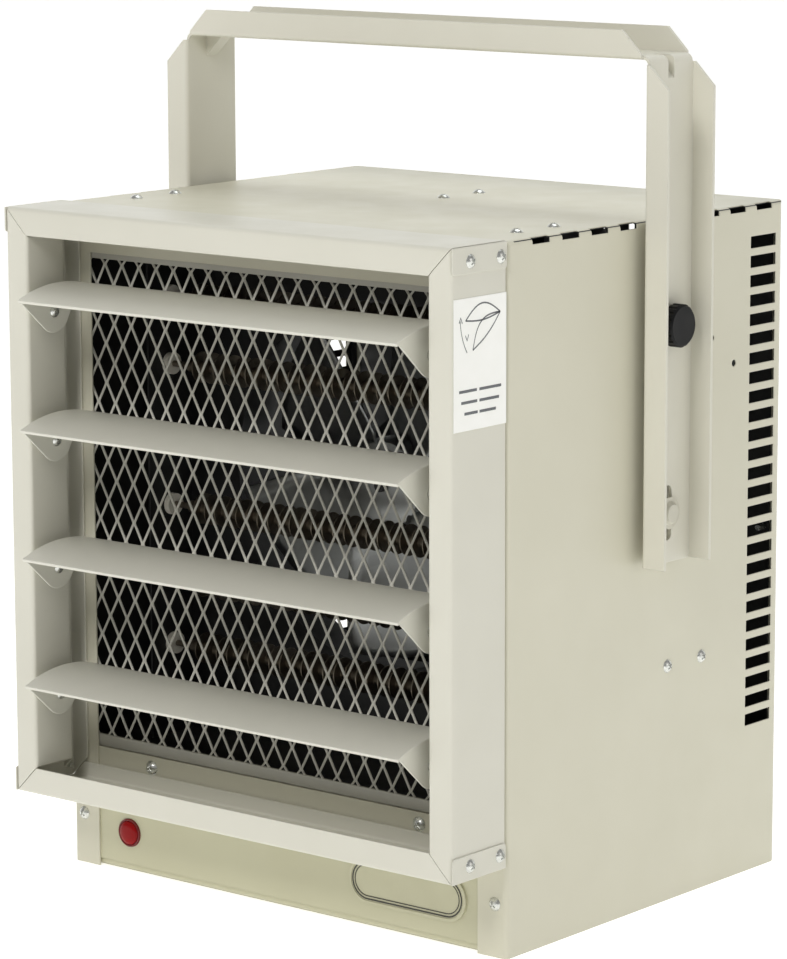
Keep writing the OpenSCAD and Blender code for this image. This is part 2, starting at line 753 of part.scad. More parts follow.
// Finned hairpin element across the air stream, with its two terminal pins at the left end.
module hairpin(z_mid) {
    tube_r = 4;
    leg = 250;
    pin = hanger_x + 9 - leg / 2;
    color("#8d8a84")
    translate([-leg / 2, element_y, z_mid]) {
        translate([leg, 0, 0]) rotate([-90, 0, 0]) rotate([0, 0, -90]) rotate_extrude(angle = 180, $fn = 64)
            translate([element_bend, 0]) circle(r = tube_r, $fn = 24);
        for (s = [-1, 1])
            translate([0, 0, s * element_bend]) rotate([0, 90, 0]) {
                cylinder(r = tube_r, h = leg, $fn = 24);
                translate([0, 0, -pin]) cylinder(r = 2, h = pin, $fn = 16);
                for (k = [0 : 24])
                    translate([0, 0, 10 + k * 9]) cylinder(r = 10, h = 0.8, $fn = 32);
            }
    }
}

module heating_element_1() { hairpin(fan_z + element_pitch); }
module heating_element_2() { hairpin(fan_z); }
module heating_element_3() { hairpin(fan_z - element_pitch); }

// Ceramic bushes that insulate the terminal pins in the left hanger.
module element_bushes() {
    color("#e8e4d8")
    for (k = [-1 : 1], s = [-1, 1])
        translate([-hanger_x, element_y, fan_z + k * element_pitch + s * element_bend]) rotate([0, 90, 0])
            difference() {
                union() {
                    translate([0, 0, -5]) cylinder(r = 4.3, h = 6, $fn = 32);
                    cylinder(r = 7, h = 4, $fn = 32);
                }
                translate([0, 0, -6]) cylinder(r = 2.05, h = 12, $fn = 24);
            }
}

// One hanger, drawn on the right: a foot under the top panel and a strip down past the elements.
module hanger() {
    top = cabinet_h - sheet;
    difference() {
        union() {
            translate([hanger_x, element_y - 26, top - 1.5]) cube([20, 52, 1.5]);
            translate([hanger_x, element_y - 20, shelf_z]) cube([1.5, 40, top - shelf_z]);
        }
        for (d = [-1, 1])
            translate([element_x, element_y + d * screw_pair / 2, top - 5]) cylinder(r = 2, h = 10, $fn = 24);
        for (k = [-1 : 1], s = [-1, 1])
            translate([hanger_x - 5, element_y, fan_z + k * element_pitch + s * element_bend])
                rotate([0, 90, 0]) cylinder(r = 4.4, h = 12, $fn = 24);
    }
}

// The right hanger is slotted for the return bends and the left one takes the ceramic bushes.
module element_supports() {
    color("#b4b4ab") {
        mirror([1, 0, 0]) hanger();
        difference() {
            hanger();
            for (k = [-1 : 1])
                translate([hanger_x - 5, element_y - 4.4, fan_z + k * element_pitch - element_bend])
                    cube([12, 8.8, 2 * element_bend]);
        }
    }
}

module limit_switch() {
    color("#2c2c30")
    translate([-hanger_x, element_y, 108]) {
        rotate([0, 90, 0]) cylinder(r = 8, h = 9, $fn = 48);
        translate([9, -2.5, -6]) cube([7, 5, 0.8]);
        translate([9, -2.5, 5]) cube([7, 5, 0.8]);
    }
}

// ---------- control space ----------

module thermostat() {
    color("#e3e1d6")
    translate([dial_x, 0, low_z + 6]) {
        translate([-22, rear_in - sheet - 31.5, -20]) cube([44, 31.5, 40]);
        translate([0, rear_in - sheet - 1, 0]) rotate([-90, 0, 0]) cylinder(r = 4.6, h = 2.6, $fn = 32);
        translate([0, rear_in + 0.4, 0]) rotate([-90, 0, 0]) cylinder(r = spindle_r, h = 9, $fn = 32);
    }
}

// Fluted dial with a plain skirt and a pointer groove.
module thermostat_dial() {
    flutes = 18;
    skirt_h = 3;
    grip_r = 13.6;
    color("#1d1d1d")
    translate([dial_x, rear_in + 1.6, low_z + 6]) rotate([-90, 0, 0])
        difference() {
            union() {
                cylinder(r = 17, h = skirt_h, $fn = 72);
                cylinder(r = grip_r, h = skirt_h + 10, $fn = 72);
            }
            translate([0, 0, -1]) cylinder(r = spindle_r + fit, h = 9.5, $fn = 32);
            translate([-0.6, 4, skirt_h + 9]) cube([1.2, 7, 2]);
            for (k = [0 : flutes - 1])
                rotate([0, 0, (k + 0.5) * 360 / flutes])
                    translate([grip_r + 1, 0, skirt_h + 0.6]) cylinder(r = 1.6, h = 12, $fn = 16);
        }
}

module contactor() {
    color("#232326")
    translate([-30, 10, sheet]) {
        cube([52, 60, 34]);
        for (k = [0 : 3])
            translate([5 + k * 12, -8, 10]) cube([7, 8, 14]);
        for (k = [0 : 3])
            translate([5 + k * 12, 60, 10]) cube([7, 8, 14]);
        translate([10, 12, 34]) cube([32, 36, 12]);
    }
}

module terminal_block() {
    color("#2a2622")
    translate([-118, 50, sheet]) {
        cube([50, 26, 12]);
        for (k = [0 : 3])
            translate([k * 16, 0, 12]) cube([2, 26, 10]);
        for (k = [0 : 2])
            translate([3.5 + k * 16, 4, 12]) cube([9, 18, 3]);
    }
}

module ground_screw() {
    color("#3f7a4a")
    translate([-50, 100, sheet]) {
        cylinder(r = 5.5, h = 3, $fn = 6);
        translate([0, 0, 3]) cylinder(r = 3, h = 6, $fn = 32);
    }
}

// Doubler plate round the supply inlet, with a plain bore for a conduit fitting.
module conduit_plate() {
    color("#c3c4c0")
    difference() {
        translate([inlet_x - 24, rear_in, low_z - 16]) cube([48, 1.5, 44]);
        translate([inlet_x, rear_in - 2, low_z + 6]) rotate([-90, 0, 0]) cylinder(r = 14.1, h = 6, $fn = 48);
    }
}

module pilot_lamp_lens() {
    y = -half_d + sheet;
    color("#b01217")
    translate([lamp_x, y, low_z]) rotate([90, 0, 0])
        union() {
            cylinder(r = 10, h = 2, $fn = 64);
            translate([0, 0, 2]) cylinder(r1 = 8.6, r2 = 7.4, h = 2.6, $fn = 64);
            translate([0, 0, -sheet - 4]) cylinder(r = 8, h = sheet + 4, $fn = 48);
        }
}

module pilot_lamp_body() {
    y = -half_d + sheet;
    color("#1d1d1d")
    translate([lamp_x, y, low_z]) rotate([-90, 0, 0]) {
        translate([0, 0, sheet + 4]) cylinder(r = 8, h = 16, $fn = 48);
        for (s = [-1, 1])
            translate([s * 4 - 0.4, -2.4, sheet + 20]) cube([0.8, 4.8, 7]);
    }
}

// Outline with round ends, used for the badge and its sunk field.
module oblong(w, h) {
    translate([-w / 2 + h / 2, -h / 2]) square([w - h, h]);
    for (s = [-1, 1]) translate([s * (w / 2 - h / 2), 0]) circle(r = h / 2, $fn = 64);
}

// Blank oblong badge: a plain field inside a raised rim.
module badge_plate() {
    face_y = -half_d + sheet - 1.4;
    rim = 2.2;
    color("#d9d8cf")
    translate([101, 0, 30])
        difference() {
            along_y(face_y, -half_d + sheet) oblong(92, 30);
            along_y(face_y - 1, face_y + 0.5) oblong(92 - 2 * rim, 30 - 2 * rim);
        }
}

// ---------- assembly ----------

cabinet_wrapper();
rear_panel();
bottom_panel();
divider_shelf();
control_panel();
frame_top_rail();
frame_bottom_rail();
frame_left_stile();
frame_right_stile();
outlet_mesh();
louver_1();
louver_2();
louver_3();
louver_4();
louver_pivots();
louver_label();
mounting_bracket();
pivot_bolts();
clamp_knob_left();
clamp_knob_right();
clamp_inserts();
frame_screws();
cabinet_screws();
panel_screws();
rear_screws();
fan_shroud();
shroud_collar();
fan_rotor();
fan_motor();
motor_mount();
rear_guard();
heating_element_1();
heating_element_2();
heating_element_3();
element_supports();
element_bushes();
limit_switch();
thermostat();
thermostat_dial();
contactor();
terminal_block();
ground_screw();
conduit_plate();
pilot_lamp_lens();
pilot_lamp_body();
badge_plate();
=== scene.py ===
"""Looks of a fan-forced electric unit heater: almond powder coat, tilting louvres, expanded-metal outlet."""
import json
import math
import bmesh
import bpy
import numpy as np
from mathutils import Matrix, Vector


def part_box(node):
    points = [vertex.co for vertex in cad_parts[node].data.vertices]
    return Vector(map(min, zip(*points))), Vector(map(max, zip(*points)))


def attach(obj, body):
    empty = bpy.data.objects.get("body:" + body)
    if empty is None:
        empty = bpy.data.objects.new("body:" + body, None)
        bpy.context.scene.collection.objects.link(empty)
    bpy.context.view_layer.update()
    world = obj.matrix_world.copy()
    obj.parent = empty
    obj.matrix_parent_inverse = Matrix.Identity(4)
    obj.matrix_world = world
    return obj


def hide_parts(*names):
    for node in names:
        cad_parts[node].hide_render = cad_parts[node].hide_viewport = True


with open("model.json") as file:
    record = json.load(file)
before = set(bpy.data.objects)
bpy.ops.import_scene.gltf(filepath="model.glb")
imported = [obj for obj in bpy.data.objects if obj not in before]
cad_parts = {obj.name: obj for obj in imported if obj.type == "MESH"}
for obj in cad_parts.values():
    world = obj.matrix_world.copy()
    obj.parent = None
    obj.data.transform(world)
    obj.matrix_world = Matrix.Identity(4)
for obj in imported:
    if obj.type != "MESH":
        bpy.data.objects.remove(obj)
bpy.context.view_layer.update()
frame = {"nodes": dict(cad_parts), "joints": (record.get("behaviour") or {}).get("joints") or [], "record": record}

MM = 0.001
HOUSING = "housing"
MIX_A, MIX_B, MIX_OUT = 6, 7, 2     # colour sockets of the Mix node


# ---------- small tools ----------

def linear(hex_colour):
    """sRGB hex to linear RGBA: c / 12.92 up to 0.04045, and ((c + 0.055) / 1.055) ^ 2.4 above it."""
    c = np.array([int(hex_colour[i:i + 2], 16) for i in (1, 3, 5)]) / 255
    value = np.where(c <= 0.04045, c / 12.92, ((c + 0.055) / 1.055) ** 2.4)
    return (*value.tolist(), 1.0)


def add(tree, kind, inputs=None, **settings):
    """Adds one node with its settings, then links or sets each of its named inputs."""
    new = tree.nodes.new(kind)
    for key, value in settings.items():
        setattr(new, key, value)
    for socket, source in (inputs or {}).items():
        if isinstance(source, bpy.types.NodeSocket):
            tree.links.new(source, new.inputs[socket])
        else:
            new.inputs[socket].default_value = source
    return new


def surface(name, **sockets):
    """A material with a Principled shader, its even values set on the shader's own sockets."""
    material = bpy.data.materials.new(name)
    material.use_nodes = True
    tree = material.node_tree
    tree.nodes.clear()
    shader = add(tree, "ShaderNodeBsdfPrincipled",
                 {key.replace("_", " "): value for key, value in sockets.items()})
    add(tree, "ShaderNodeOutputMaterial", {"Surface": shader.outputs["BSDF"]})
    place = add(tree, "ShaderNodeTexCoord").outputs["Object"]
    return material, tree, shader, place


# ---------- finishes ----------

def inside_box(tree, place, low, high):
    """1 inside an upright box and 0 outside it: the largest of |p - middle| / half size is under 1."""
    middle, half = (high + low) / 2, (high - low) / 2
    off = add(tree, "ShaderNodeVectorMath", {0: place, 1: tuple(middle)}, operation="SUBTRACT")
    share = add(tree, "ShaderNodeVectorMath", {0: off.outputs["Vector"], 1: tuple(half)}, operation="DIVIDE")
    size = add(tree, "ShaderNodeVectorMath", {0: share.outputs["Vector"]}, operation="ABSOLUTE")
    side = add(tree, "ShaderNodeSeparateXYZ", {"Vector": size.outputs["Vector"]})
    wide = add(tree, "ShaderNodeMath", {0: side.outputs["X"], 1: side.outputs["Y"]}, operation="MAXIMUM")
    most = add(tree, "ShaderNodeMath", {0: wide.outputs["Value"], 1: side.outputs["Z"]}, operation="MAXIMUM")
    shade_mask = add(tree, "ShaderNodeMath", {0: most.outputs["Value"], 1: 1.0}, operation="LESS_THAN")
    return shade_mask.outputs["Value"]


def powder_coat(name, paint, shade, fold_highlight_colour, gloss, shaded_inside=None):
    """Thermoset powder coat, sprayed and baked on sheet steel. The eye sees a satin skin with a fine
    orange peel and a faint drift of colour over a hand's width. The folds are coloured paler, which is a
    painted highlight. Where a box is given, the walls inside it are coloured near black: painted shade."""
    material, tree, shader, place = surface(name)
    soft = add(tree, "ShaderNodeBevel", {"Radius": 0.7 * MM}, samples=4).outputs["Normal"]
    true = add(tree, "ShaderNodeNewGeometry").outputs["Normal"]
    bend = add(tree, "ShaderNodeVectorMath", {0: soft, 1: true}, operation="DOT_PRODUCT")
    # painted highlight: where the rounded normal leans away from the true one, on folds and edges, the colour
    # turns paler
    fold_highlight = add(tree, "ShaderNodeMapRange", {"Value": bend.outputs["Value"], "From Min": 0.985,
                    "From Max": 0.8, "To Min": 0.0, "To Max": 0.55})
    drift = add(tree, "ShaderNodeTexNoise", {"Vector": place, "Scale": 1 / (90 * MM), "Detail": 3.0})
    body = add(tree, "ShaderNodeMix", {0: drift.outputs["Fac"], MIX_A: linear(paint), MIX_B: linear(shade)},
               data_type="RGBA")
    colour = add(tree, "ShaderNodeMix", {0: fold_highlight.outputs["Result"], MIX_A: body.outputs[MIX_OUT],
                 MIX_B: linear(fold_highlight_colour)}, data_type="RGBA")
    if shaded_inside is not None:
        shade_mask = inside_box(tree, place, *shaded_inside)
        # painted shade: near-black colour on the walls inside the box, standing in for the deep shade there
        steel = add(tree, "ShaderNodeMix", {0: drift.outputs["Fac"], MIX_A: linear("#2a2a28"),
                    MIX_B: linear("#1c1c1b")}, data_type="RGBA")
        colour = add(tree, "ShaderNodeMix", {0: shade_mask, MIX_A: colour.outputs[MIX_OUT],
                     MIX_B: steel.outputs[MIX_OUT]}, data_type="RGBA")
    handled = add(tree, "ShaderNodeTexNoise", {"Vector": place, "Scale": 1 / (22 * MM), "Detail": 4.0})
    rough = add(tree, "ShaderNodeMapRange", {"Value": handled.outputs["Fac"], "From Min": 0.3,
                                             "From Max": 0.7,
                "To Min": gloss - 0.05, "To Max": gloss + 0.07})
    peel = add(tree, "ShaderNodeTexNoise", {"Vector": place, "Scale": 1 / (1.8 * MM), "Detail": 1.0})
    bump = add(tree, "ShaderNodeBump", {"Height": peel.outputs["Fac"], "Normal": soft, "Strength": 0.35,
               "Distance": 0.03 * MM})
    tree.links.new(colour.outputs[MIX_OUT], shader.inputs["Base Color"])
    tree.links.new(rough.outputs["Result"], shader.inputs["Roughness"])
    tree.links.new(bump.outputs["Normal"], shader.inputs["Normal"])
    return material


def plated_steel(name, bright, dull, grain, rough_low, rough_high, metallic=1.0):
    """Rolled or plated steel. The eye sees a clouded metal lustre whose patches are one grain wide,
    with a little roughness change from patch to patch and rounded edges."""
    material, tree, shader, place = surface(name, Metallic=metallic)
    soft = add(tree, "ShaderNodeBevel", {"Radius": 0.3 * MM}, samples=4).outputs["Normal"]
    cells = add(tree, "ShaderNodeTexVoronoi", {"Vector": place, "Scale": 1 / grain, "Randomness": 1.0})
    haze = add(tree, "ShaderNodeTexNoise", {"Vector": place, "Scale": 0.6 / grain, "Detail": 5.0})
    patch = add(tree, "ShaderNodeMix", {0: 0.45, MIX_A: haze.outputs["Color"], MIX_B: cells.outputs["Color"]},
                data_type="RGBA")
    grey = add(tree, "ShaderNodeRGBToBW", {"Color": patch.outputs[MIX_OUT]})
    colour = add(tree, "ShaderNodeMix", {0: grey.outputs["Val"], MIX_A: linear(dull), MIX_B: linear(bright)},
                 data_type="RGBA")
    rough = add(tree, "ShaderNodeMapRange", {"Value": grey.outputs["Val"], "From Min": 0.3, "From Max": 0.7,
                "To Min": rough_high, "To Max": rough_low})
    bump = add(tree, "ShaderNodeBump", {"Height": haze.outputs["Fac"], "Normal": soft, "Strength": 0.3,
               "Distance": 0.05 * MM})
    tree.links.new(colour.outputs[MIX_OUT], shader.inputs["Base Color"])
    tree.links.new(rough.outputs["Result"], shader.inputs["Roughness"])
    tree.links.new(bump.outputs["Normal"], shader.inputs["Normal"])
    return material


def moulded(name, skin, shade, rough_low, rough_high, pit, **sockets):
    """Moulded or cast non-metal. The eye sees an even body colour with a slow drift, a fine pitted
    texture as wide as pit, and rounded edges."""
    material, tree, shader, place = surface(name, **sockets)
    soft = add(tree, "ShaderNodeBevel", {"Radius": 0.4 * MM}, samples=4).outputs["Normal"]
    drift = add(tree, "ShaderNodeTexNoise", {"Vector": place, "Scale": 1 / (14 * MM), "Detail": 3.0})
    colour = add(tree, "ShaderNodeMix", {0: drift.outputs["Fac"], MIX_A: linear(skin), MIX_B: linear(shade)},
                 data_type="RGBA")
    rough = add(tree, "ShaderNodeMapRange", {"Value": drift.outputs["Fac"], "From Min": 0.3, "From Max": 0.7,
                "To Min": rough_low, "To Max": rough_high})
    pits = add(tree, "ShaderNodeTexNoise", {"Vector": place, "Scale": 1 / pit, "Detail": 2.0})
    bump = add(tree, "ShaderNodeBump", {"Height": pits.outputs["Fac"], "Normal": soft, "Strength": 0.25,
               "Distance": 0.06 * MM})
    tree.links.new(colour.outputs[MIX_OUT], shader.inputs["Base Color"])
    tree.links.new(rough.outputs["Result"], shader.inputs["Roughness"])
    tree.links.new(bump.outputs["Normal"], shader.inputs["Normal"])
    return material


SKIN, LIP = 0.6 * MM, 6 * MM
# Box for the painted shade inside the cabinet: the wrapper's box shrunk by SKIN, so its outer faces keep their
# paint.
SHADED_INSIDE_BOX = [np.array(corner) + way * SKIN for corner, way in zip(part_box("cabinet_wrapper"), (1, -1))]
SHADED_INSIDE_BOX[0][1] += LIP    # the shelf's and the floor's front lips keep the outside colour, clear of the painted shade
SHADED_INSIDE_BOX[1][1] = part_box("rear_panel")[1][1] - SKIN    # and so does the rear panel's outer face

# the third colour of each powder coat is its painted highlight on the folds
FINISH = {
    "cabinet_paint": powder_coat("almond_powder_coat", "#d2cfbd", "#c9c6b3", "#e2dfd0", 0.40, SHADED_INSIDE_BOX),
    # painted shade: the panel's almond is darker and greener than the cabinet's, for the shade under the
    # overhanging frame
    "panel_paint": powder_coat("almond_powder_coat_panel", "#c6c4a9", "#bcb99d", "#d6d3bf", 0.42),
    "frame_paint": powder_coat("almond_powder_coat_frame", "#d6d4c8", "#cccabd", "#e5e4da", 0.38),
    "louver_paint": powder_coat("almond_powder_coat_louvre", "#d7d5ca", "#cecdc1", "#ebe9e0", 0.36),
    "bracket_paint": powder_coat("almond_powder_coat_yoke", "#dad8cb", "#d0cdbf", "#e8e6db", 0.38),
    "painted_bolt": powder_coat("almond_powder_coat_bolt", "#cfccbd", "#c3c0b1", "#dedbce", 0.34),
    "mesh_steel": powder_coat("wash_coat_on_expanded_steel", "#b5b3a9", "#a4a299", "#cfcdc4", 0.36),
    "guard_wire": powder_coat("dipped_coat_on_guard_wire", "#8f8e86", "#7d7c75", "#a5a49c", 0.40),
    "motor_enamel": powder_coat("baked_enamel_on_motor", "#2a2b2d", "#1f2022", "#3c3d3f", 0.38),
    "zinc_screws": plated_steel("bright_zinc_plate", "#e2e3df", "#b9bbb6", 1.6 * MM, 0.20, 0.36),
    "galvanised": plated_steel("galvanised_sheet", "#a9acaa", "#868987", 7 * MM, 0.38, 0.52),
    # painted shade: the shroud is coloured near black so that the deep inside behind the mesh reads dark
    "shroud_black": powder_coat("stove_black_on_shroud", "#1b1b1b", "#121212", "#303030", 0.55),
    "fan_aluminium": plated_steel("pressed_aluminium", "#b3b5b4", "#979998", 12 * MM, 0.34, 0.48),
    "element_sheath": plated_steel("heat_tinted_steel", "#948b7d", "#6b6459", 5 * MM, 0.36, 0.55),
    "knob_black": moulded("moulded_phenolic", "#0e0e0f", "#080809", 0.42, 0.52, 0.8 * MM,
                           Specular_IOR_Level=0.22),
    "control_plastic": moulded("moulded_thermoset", "#2b2c2f", "#202124", 0.45, 0.58, 0.9 * MM),
    "thermostat_body": moulded("moulded_nylon", "#d8d4c5", "#cdc8b8", 0.34, 0.44, 1.2 * MM),
    "ceramic": moulded("fired_steatite", "#e9e5da", "#dcd7ca", 0.32, 0.46, 1.0 * MM),
    "lamp_red": moulded("tinted_acrylic_lens", "#9c0609", "#7e0407", 0.16, 0.24, 2.5 * MM, IOR=1.49,
                        Specular_IOR_Level=0.15, Coat_Weight=0.05, Coat_Roughness=0.08),
    "label_film": moulded("printed_vinyl_film", "#f8f8f5", "#f1f1ec", 0.40, 0.50, 3 * MM),
    # painted shade: the badge takes the panel's darker almond, for the shade under the frame
    "badge_film": moulded("varnished_polycarbonate_badge", "#c6c4a9", "#bcb99d", 0.30, 0.40, 2 * MM),
}
INK = moulded("screen_printed_ink", "#6c6f72", "#5c5f62", 0.5, 0.6, 1.5 * MM)
DARK_INK = moulded("screen_printed_dark_ink", "#3d3c36", "#33322d", 0.4, 0.5, 1.5 * MM)

SLOT_OF = {part["node"]: part["material_slot"] for part in frame["record"]["subparts"]}
for node_name, cad_object in frame["nodes"].items():
    if not cad_object.data.materials:
        cad_object.data.materials.append(None)
    for holder in cad_object.material_slots:
        holder.material = FINISH[SLOT_OF[node_name]]


# ---------- mesh tools ----------

def grid_faces(rows, cols, close_rows=False, close_cols=False):
    """Quads between neighbours of a rows x cols grid of points, joined round either way on request."""
    i = np.arange(rows if close_rows else rows - 1)[:, None]
    j = np.arange(cols if close_cols else cols - 1)[None, :]
    down, right = (i + 1) % rows, (j + 1) % cols
    corners = [i * cols + j, i * cols + right, down * cols + right, down * cols + j]
    return np.stack(np.broadcast_arrays(*corners), -1).reshape(-1, 4)


def join(*shells):
    """One (points, faces) pair from several, each one's faces counted on from the points before it."""
    starts = np.cumsum([0] + [len(points) for points, _ in shells])
    faces = [[start + np.asarray(face) for face in shell[1]] for start, shell in zip(starts, shells)]
    return np.vstack([points for points, _ in shells]), [face.tolist() for group in faces for face in group]


def piece(name, shell, slot, body=HOUSING, stands_for=(), finish=None, bevel=0.0, wall=0.0, smooth=38):
    """A finished object from a shell: doubled points merged, faces outwards, on its body and finish."""
    points, faces = shell
    data = bpy.data.meshes.new(name)
    data.from_pydata(np.asarray(points).tolist(), [], [list(map(int, face)) for face in faces])
    work = bmesh.new()
    work.from_mesh(data)
    bmesh.ops.remove_doubles(work, verts=work.verts, dist=0.002 * MM)
    bmesh.ops.recalc_face_normals(work, faces=work.faces)
    work.to_mesh(data)
    work.free()
    data.shade_smooth()
    data.set_sharp_from_angle(angle=math.radians(smooth))
    data.materials.append(finish or FINISH[slot])
    made = bpy.data.objects.new(name, data)
    bpy.context.scene.collection.objects.link(made)
    if wall:
        thick = made.modifiers.new("wall", "SOLIDIFY")
        thick.thickness = wall
        thick.offset = 0.0
    if bevel:
        edge = made.modifiers.new("edge", "BEVEL")
        edge.width = bevel
        edge.segments = 2
        edge.angle_limit = math.radians(35)
        edge.harden_normals = True
    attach(made, body)
    if stands_for:
        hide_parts(*stands_for)
    return made


def unit(vectors):
    """Each row divided by its own length."""
    return vectors / np.linalg.norm(vectors, axis=-1, keepdims=True)


def fold(corners, radius, steps=6):
    """An open line with each inner corner rounded: a curve that leaves the corner by radius on both
    sides and is pulled to the corner, (1-s)^2 A + 2s(1-s) P + s^2 B."""
    corners = np.asarray(corners, float)
    before, corner, after = corners[:-2], corners[1:-1], corners[2:]
    s = np.linspace(0, 1, steps)[None, :, None]
    a = (corner + radius * unit(before - corner))[:, None]
    b = (corner + radius * unit(after - corner))[:, None]
    arcs = (1 - s) ** 2 * a + 2 * s * (1 - s) * corner[:, None] + s ** 2 * b
    return np.vstack([corners[:1], arcs.reshape(-1, 2), corners[-1:]])


def strip(line, width):
    """Closed outline of a band: the line moved half the width to each side, square to its own course."""
    course = unit(np.gradient(np.asarray(line, float), axis=0))
    side = np.stack([-course[:, 1], course[:, 0]], 1) * width / 2
    return np.vstack([line + side, (line - side)[::-1]])


def prism(outline, place, low, high):
    """A closed outline carried straight from low to high: place maps (a, b, height) to x, y, z."""
    outline = np.asarray(outline, float)
    n = len(outline)
    rings = [place(outline[:, 0], outline[:, 1], np.broadcast_to(h, n)) for h in (low, high)]
    sides = grid_faces(2, n, close_cols=True).tolist()
    return np.vstack(rings), sides + [list(range(n)), list(range(n, 2 * n))]


def lathe(profile, centre, axis, steps=64):
    """Turned surface: each (radius, height) of the profile goes once round the axis through centre."""
    radius, height = np.asarray(profile, float).T
    turn = np.linspace(0, 2 * math.pi, steps, endpoint=False)
    across, up = np.outer(radius, np.cos(turn)), np.outer(radius, np.sin(turn))
    along = np.repeat(height[:, None], steps, axis=1)
    order = {"x": (along, across, up), "y": (up, along, across)}[axis]
    points = np.stack(order, -1).reshape(-1, 3) + np.asarray(centre)
    return points, grid_faces(len(radius), steps, close_cols=True)


def centre_of(node):
    """Middle of a CAD node's box."""
    low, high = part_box(node)
    return (np.array(low) + np.array(high)) / 2


def oblong(width, height, steps=17):
    """Closed outline with round ends: two straight sides joined by half circles."""
    half, r = width / 2 - height / 2, height / 2
    t = np.linspace(-math.pi / 2, math.pi / 2, steps)
    right = np.stack([half + r * np.cos(t), r * np.sin(t)], 1)
    return np.vstack([right, -right])


# ---------- outlet frame ----------

FRAME_LOW, FRAME_HIGH = np.array(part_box("frame_bottom_rail")[0]), np.array(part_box("frame_top_rail")[1])
STILE_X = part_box("frame_right_stile")[1][0]
FRAME_Z = (FRAME_LOW[2], FRAME_HIGH[2])
FRONT_Y = FRAME_LOW[1]
FRAME_DEPTH = 52 * MM
FLANGE = 17.2 * MM
SHEET = 1.2 * MM
BEND = 2.2 * MM


def frame_member(course, length, side):
    """A bent sheet whose points lie inward and deep; each end stands back by as much as the point lies
    inward, which mitres the corners. side maps (inward, depth, along) to x, y, z."""
    outline = strip(course, SHEET)
    end = length / 2 - outline[:, 0] - 0.25 * MM
    return prism(outline, side, -end, end)


def tab(x, z_edge, way):
    """Lapped end tab of a rail: a plate with two rounded corners against the stile's outer wall."""
    height, depth, r = 16 * MM, FRAME_DEPTH - 1.5 * MM, 2 * MM
    t = np.linspace(0, math.pi / 2, 5)
    near = np.stack([r - r * np.sin(t), height - r + r * np.cos(t)], 1)
    far = np.stack([depth - r + r * np.cos(t), height - r + r * np.sin(t)], 1)
    outline = np.vstack([[[0, 0.4 * MM]], near[::-1], far[::-1], [[depth, 0.4 * MM]]])
    return prism(outline, lambda a, b, h: np.stack([h, FRONT_Y + a, z_edge - way * b], 1),
                 x, x + math.copysign(1 * MM, x))


HALF_SHEET = SHEET / 2
RAIL_COURSE = fold([[FLANGE, HALF_SHEET], [HALF_SHEET, HALF_SHEET], [HALF_SHEET, FRAME_DEPTH - HALF_SHEET],
                    [11 * MM, FRAME_DEPTH - HALF_SHEET]], BEND)
STILE_COURSE = fold([[14 * MM, FRAME_DEPTH - HALF_SHEET], [HALF_SHEET, FRAME_DEPTH - HALF_SHEET],
                     [HALF_SHEET, HALF_SHEET], [FLANGE, HALF_SHEET], [FLANGE, 34 * MM],
                     [10 * MM, 34 * MM]], BEND)
SPAN_Z = FRAME_Z[1] - FRAME_Z[0]
MID_Z = sum(FRAME_Z) / 2
for label, z_edge, way in (("frame_top_rail", FRAME_Z[1], 1), ("frame_bottom_rail", FRAME_Z[0], -1)):
    rail = frame_member(RAIL_COURSE, 2 * STILE_X,
                        lambda a, b, h: np.stack([h, FRONT_Y + b, z_edge - way * a], 1))
    piece(label + "_folded", join(rail, tab(STILE_X, z_edge, way), tab(-STILE_X, z_edge, way)),
          "frame_paint", stands_for=[label], bevel=0.25 * MM)
for label, s in (("frame_left_stile", -1), ("frame_right_stile", 1)):
    stile = frame_member(STILE_COURSE, SPAN_Z,
                         lambda a, b, h: np.stack([s * (STILE_X - a), FRONT_Y + b, MID_Z + h], 1))
    piece(label + "_folded", stile, "frame_paint", stands_for=[label], bevel=0.25 * MM)


# ---------- expanded-metal outlet mesh ----------

MESH_LOW, MESH_HIGH = (np.array(corner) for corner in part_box("outlet_mesh"))
HEM = 8 * MM
WAY_X, WAY_Z = 14.6 * MM, 25.2 * MM
STRAND_W, STRAND_T, STRAND_TILT = 1.6 * MM, 1.1 * MM, math.radians(34)


def expanded_metal():
    """Strands that run up the sheet in zigzags: strand m keeps between m and m + 1 half ways, and meets
    its neighbour at every second level, where it runs straight for one bond. The section is a thin
    rectangle turned by the tilt that the press gives it."""
    middle = (MESH_LOW + MESH_HIGH) / 2
    half_x, half_z = WAY_X / 2, WAY_Z / 2
    reach = (MESH_HIGH - MESH_LOW) / 2 - HEM * 0.4
    columns, levels = int(reach[0] // half_x), int(reach[2] // half_z) + 1
    strands = np.arange(-columns, columns)[:, None]
    level = np.arange(-levels, levels + 1)
    edge = (strands + (strands + level) % 2) * half_x
    inward = np.where((strands + level) % 2 == 0, 1, -1) * STRAND_W * 0.30
    bond = 0.5 * MM
    x = np.repeat(edge + inward, 2, axis=1)
    z = np.repeat(level * half_z, 2) + np.tile([-bond, bond], len(level))
    z = np.clip(z, -reach[2], reach[2])
    w, t = STRAND_W / 2, STRAND_T / 2
    section = np.array([[-w, -t], [0, -t * 1.25], [w, -t], [w, t], [0, t * 1.25], [-w, t]])
    cos, sin = math.cos(STRAND_TILT), math.sin(STRAND_TILT)
    section = section @ np.array([[cos, sin], [-sin, cos]])
    n, k, q = len(strands), x.shape[1], len(section)
    points = np.empty((n, k, q, 3))
    points[..., 0] = middle[0] + x[:, :, None] + section[None, None, :, 0]
    points[..., 1] = middle[1] + section[None, None, :, 1]
    points[..., 2] = middle[2] + z[None, :, None]
    tube = grid_faces(k, q, close_cols=True)
    caps = np.array([np.arange(q), (k - 1) * q + np.arange(q)])
    offset = np.arange(n)[:, None, None] * k * q
    faces = (tube[None] + offset).reshape(-1, 4).tolist() + (caps[None] + offset).reshape(-1, q).tolist()
    return points.reshape(-1, 3), faces


